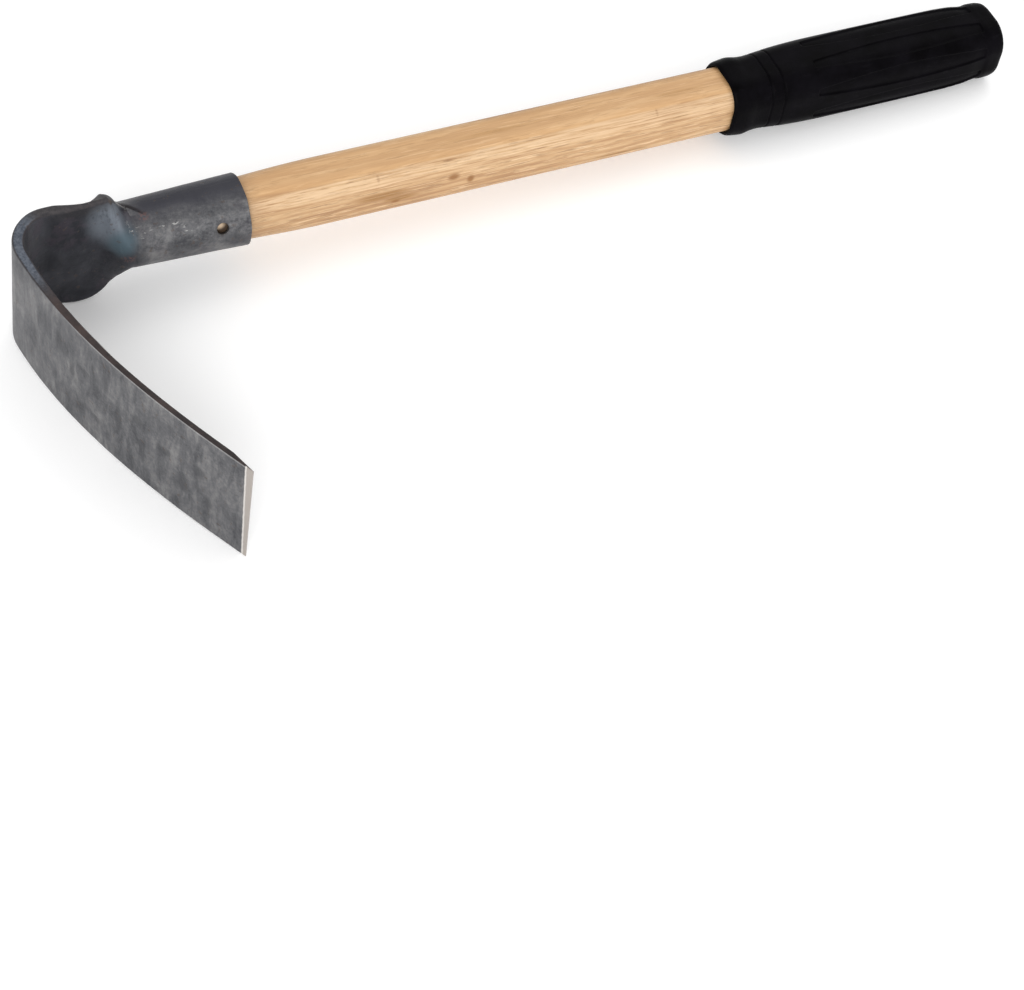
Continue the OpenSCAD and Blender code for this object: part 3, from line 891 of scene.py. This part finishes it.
def wood_grain(s, own):
    """The wood's colour without its marks, its fibre and its pores."""
    wander = s.noise(s.scaled(own, (0.009, 0.03, 0.03)), 1, 2)
    centre_gap = s.length(s.scaled(own, (0, 1, 1), RING_SHIFT))
    rings = s.maths("SINE", s.maths("MULTIPLY_ADD", wander, 26, s.times(centre_gap, 2.6)))
    broad = s.noise(s.scaled(own, (0.012, 0.14, 0.14)), 1, 4, 0.6)
    fibre = s.noise(s.scaled(own, (0.045, 1.5, 1.5)), 1, 5, 0.62)
    pore = s.noise(s.scaled(own, (0.13, 2.3, 2.3), (3, 5, 1)), 1, 2, 0.5)
    ray = s.noise(s.scaled(own, (0.07, 1.7, 1.7), (9, 2, 8)), 1, 2, 0.5)
    grain = s.maths("MULTIPLY_ADD", broad, 0.55, s.times(fibre, 0.45))
    tone = s.maths("MULTIPLY_ADD", rings, 0.05, grain)
    colour = s.ramp(tone, (0.38, (0.375, 0.205, 0.092)), (0.5, (0.5, 0.302, 0.147)),
                    (0.62, (0.6, 0.4, 0.218)))
    pores = s.times(s.rise(pore, 0.56, 0.64), s.maths("MULTIPLY_ADD", rings, 0.35, 0.5))
    colour = s.tinted(colour, (0.25, 0.122, 0.05), 0.72, pores)
    colour = s.tinted(colour, (0.86, 0.63, 0.4), 0.45, s.rise(ray, 0.6, 0.68))
    return colour, fibre, pores


def wood():
    s = Shader("oak")
    own = s.attribute("own")
    x_along, across, up = s.split(own)
    colour, fibre, pores = wood_grain(s, own)
    streaks = s.times(s.spots(own, WOOD_STREAKS), s.rise(fibre, 0.3, 0.48))
    colour = s.tinted(colour, (0.3, 0.148, 0.04), 0.95, streaks)
    colour = s.tinted(colour, (0.25, 0.105, 0.024), 0.9, s.spots(own, KNOTS))

    # Painted light: a lighter band under the front upper corner, and painted shade that makes the upper
    # face darker and warmer. The wood is also darker next to the socket.
    lit_corner_band = s.times(s.rise(s.maths("MULTIPLY", across, -1), 7.0, 7.8), s.rise(up, 4, 8))
    colour = s.tinted(colour, (0.7, 0.49, 0.3), 0.65, lit_corner_band, s.rise(fibre, 0.35, 0.6))
    # Painted shade on the upper face.
    colour = s.tinted(colour, (0.66, 0.385, 0.17), 0.5, s.rise(up, 10.2, 10.9))
    colour = s.tinted(colour, (0.3, 0.18, 0.09), 0.35, s.fall(x_along, -1, 8))

    # Painted shade darkens the tenon inside the socket, apart from a painted pool of light at the nail
    # hole, which leaves a crescent of painted shadow beside it.
    tenon_r = sum(TENON_R) / 2
    lit_spot = (-NAIL_X - 0.7, tenon_r * math.cos(LIT_SPOT_ANGLE), tenon_r * math.sin(LIT_SPOT_ANGLE))
    colour = s.tinted(colour, (0.025, 0.016, 0.012), 0.9, s.fall(x_along, -3, -1.5))
    colour = s.blend(s.spot(own, lit_spot, (3, 3, 2.4)), colour, (0.62, 0.46, 0.31))

    roughness = s.maths("MULTIPLY_ADD", fibre, 0.25, 0.38)
    height = s.maths("MULTIPLY_ADD", pores, -1.0, s.times(fibre, 0.5))
    return s.finish(Base_Color=colour, Roughness=roughness, Normal=s.relief(height, 0.00025, 0.5))


def rubber():
    s = Shader("black_rubber")
    own = s.attribute("own")
    x_along, _, _ = s.split(own)
    cloud = s.noise(own, 0.07, 4, 0.6)
    fine = s.noise(own, 1.6, 4, 0.6)
    colour = s.ramp(cloud, (0.35, (0.0012, 0.001, 0.0013)), (0.65, (0.0038, 0.0033, 0.0046)))
    worn = s.rise(s.noise(own, 0.35, 5, 0.65), 0.42, 0.6)
    rubbed = s.times(s.rise(x_along, GRIP_END - 2.2, GRIP_END - 0.2), worn)
    colour = s.tinted(colour, (0.17, 0.17, 0.175), 0.8, rubbed)
    dust = s.rise(s.noise(s.scaled(own, (0.2, 0.5, 0.5)), 1, 6, 0.7), 0.56, 0.72)
    colour = s.tinted(colour, (0.02, 0.019, 0.022), 0.15, dust)
    roughness = s.maths("MULTIPLY_ADD", cloud, 0.3, s.maths("MULTIPLY_ADD", rubbed, 0.3, 0.25))
    return s.finish(Base_Color=colour, Roughness=roughness, Specular_IOR_Level=0.022,
                    Normal=s.relief(fine, 0.00012, 0.35))


# ---- stage, light and camera -------------------------------------------------------
FLOOR_REACH = 6.0


def build_floor():
    mesh = bpy.data.meshes.new("floor")
    corners = [(-1, -1), (1, -1), (1, 1), (-1, 1)]
    points = [(FLOOR_REACH * x, FLOOR_REACH * y, cad_box[0].z) for x, y in corners]
    mesh.from_pydata(points, [], [(0, 1, 2, 3)])
    floor = bpy.data.objects.new("floor", mesh)
    bpy.context.scene.collection.objects.link(floor)
    s = Shader("pale_glowing_floor")
    # The floor glows faintly, a painted light that lifts its shadows.
    mesh.materials.append(s.finish(Base_Color=(0.94, 0.94, 0.94, 1), Roughness=0.9,
                                   Emission_Color=(1, 1, 1, 1), Emission_Strength=0.14))


def area_light(name, place, aim, size, power):
    data = bpy.data.lights.new(name, "AREA")
    data.shape = "RECTANGLE"
    data.size, data.size_y = size
    data.energy = power
    light = bpy.data.objects.new(name, data)
    light.location = place
    light.rotation_euler = (Vector(place) - Vector(aim)).to_track_quat("Z", "Y").to_euler()
    bpy.context.scene.collection.objects.link(light)


def build_lights():
    world = bpy.data.worlds.new("studio")
    bpy.context.scene.world = world
    world.use_nodes = True
    back = world.node_tree.nodes["Background"]
    back.inputs["Color"].default_value = (1, 1, 1, 1)
    back.inputs["Strength"].default_value = 0.78
    area_light("key", (-1.6, -2.6, 1.6), (0, 0, 0), (2.8, 2.2), 80)
    area_light("fill", (0.9, 0.6, 1.5), (0, 0, 0), (1.2, 1.2), 6)


CAMERA_AIM = Vector((-0.07764, -0.0943, 0.015))
CAMERA_DISTANCE = 0.98172
AZIMUTH, ELEVATION, ROLL = (math.radians(v) for v in (-31.261, 50.468, 8.423))
LENS = 97.224


def build_camera():
    back = Vector((math.sin(AZIMUTH) * math.cos(ELEVATION), -math.cos(AZIMUTH) * math.cos(ELEVATION),
                   math.sin(ELEVATION)))
    right = Vector((math.cos(AZIMUTH), math.sin(AZIMUTH), 0))
    turn = Matrix((right, back.cross(right), back)).transposed()
    data = bpy.data.cameras.new("camera")
    data.lens = LENS
    data.sensor_width = 36
    data.clip_start, data.clip_end = 0.05, 20
    camera = bpy.data.objects.new("camera", data)
    camera.matrix_world = (Matrix.Translation(CAMERA_AIM + back * CAMERA_DISTANCE)
                           @ (turn @ Matrix.Rotation(ROLL, 3, "Z")).to_4x4())
    bpy.context.scene.collection.objects.link(camera)
    bpy.context.scene.camera = camera


def place_piece(obj, node, material):
    obj.data.materials.append(material)
    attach(obj, "root")
    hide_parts(node)


build_camera()
build_lights()
build_floor()
place_piece(build_head(), "head", forged_steel())
place_piece(build_handle(), "handle", wood())
place_piece(build_grip(), "grip", rubber())
bpy.context.scene.view_settings.view_transform = "Standard"
